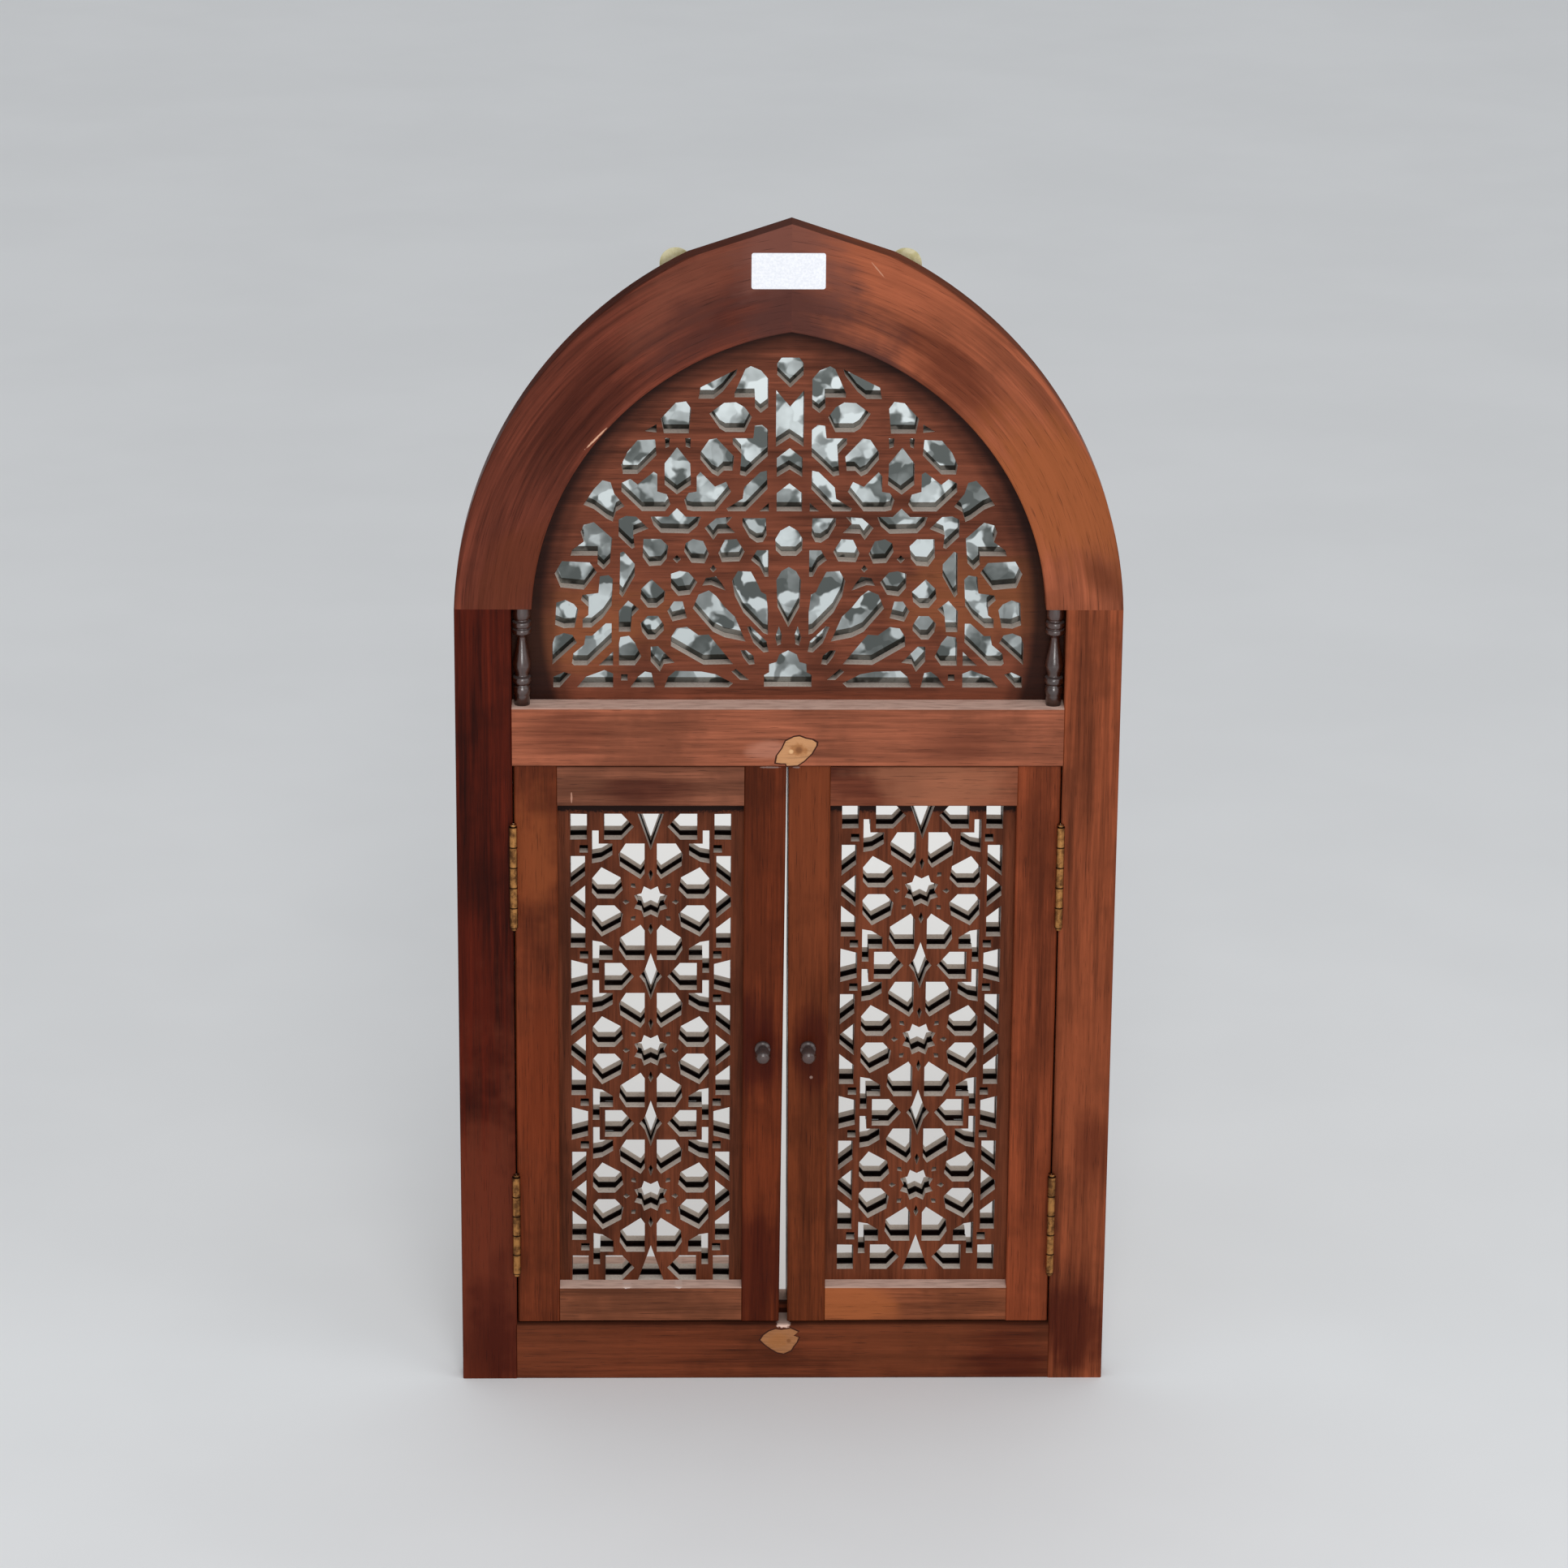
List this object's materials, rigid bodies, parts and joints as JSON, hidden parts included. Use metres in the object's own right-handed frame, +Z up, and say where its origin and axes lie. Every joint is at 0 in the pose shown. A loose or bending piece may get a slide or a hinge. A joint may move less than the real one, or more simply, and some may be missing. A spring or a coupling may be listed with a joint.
{
  "type": "mirror cabinet",
  "caption": "Shallow wall mirror cabinet with a pointed-arch hardwood face frame, a pierced fretwork lunette and hinged doors with pierced panels over a tall mirror.",
  "frame": {"origin": "on the underside, on the centre line, midway between the front of the face frame and the back of the backing board", "axes": "+X to the viewer's right, +Y from the front to the back, +Z up; the doors face -Y"},
  "size_m": [0.46, 0.0544, 0.8536],
  "materials": {
    "frame_wood": "satin stained hardwood",
    "door_wood": "satin stained hardwood",
    "fretwork_wood": "satin stained hardwood, sawn edges",
    "turned_wood": "polished dark hardwood",
    "batten_wood": "plain sawn wood",
    "tenon_wood": "plain wood",
    "board": "plain board",
    "mirror": "polished",
    "brass": "worn satin"
  },
  "bodies": {
    "frame": {"arch_left": "frame_wood", "arch_right": "frame_wood", "arch_tenons": "tenon_wood", "backing_board": "board", "bottom_batten": "batten_wood", "bottom_rail": "frame_wood", "colonnette_left": "turned_wood", "colonnette_right": "turned_wood", "hanger_plates": "brass", "hinge_left_lower_frame_leaf": "brass", "hinge_left_upper_frame_leaf": "brass", "hinge_right_lower_frame_leaf": "brass", "hinge_right_upper_frame_leaf": "brass", "lunette_panel": "fretwork_wood", "mid_batten": "batten_wood", "mid_rail": "frame_wood", "mirror_glass": "mirror", "side_batten_left": "batten_wood", "side_batten_right": "batten_wood", "slant_batten_left": "batten_wood", "slant_batten_right": "batten_wood", "stile_left": "frame_wood", "stile_right": "frame_wood", "top_batten": "batten_wood"},
    "left_door": {"door_left_bottom_rail": "door_wood", "door_left_knob": "turned_wood", "door_left_meeting_stile": "door_wood", "door_left_outer_stile": "door_wood", "door_left_panel": "fretwork_wood", "door_left_top_rail": "door_wood", "hinge_left_lower_door_leaf": "brass", "hinge_left_upper_door_leaf": "brass"},
    "right_door": {"door_right_bottom_rail": "door_wood", "door_right_knob": "turned_wood", "door_right_meeting_stile": "door_wood", "door_right_outer_stile": "door_wood", "door_right_panel": "fretwork_wood", "door_right_top_rail": "door_wood", "hinge_right_lower_door_leaf": "brass", "hinge_right_upper_door_leaf": "brass"}
  },
  "joints": [
    {"name": "left_door_hinge", "type": "hinge", "parent": "frame", "child": "left_door", "pos_m": [-0.1905, -0.02115, 0.2545], "axis": [0, 0, -1], "range_deg": [0, 170]},
    {"name": "right_door_hinge", "type": "hinge", "parent": "frame", "child": "right_door", "pos_m": [0.1905, -0.02115, 0.2545], "axis": [0, 0, 1], "range_deg": [0, 170]}
  ]
}
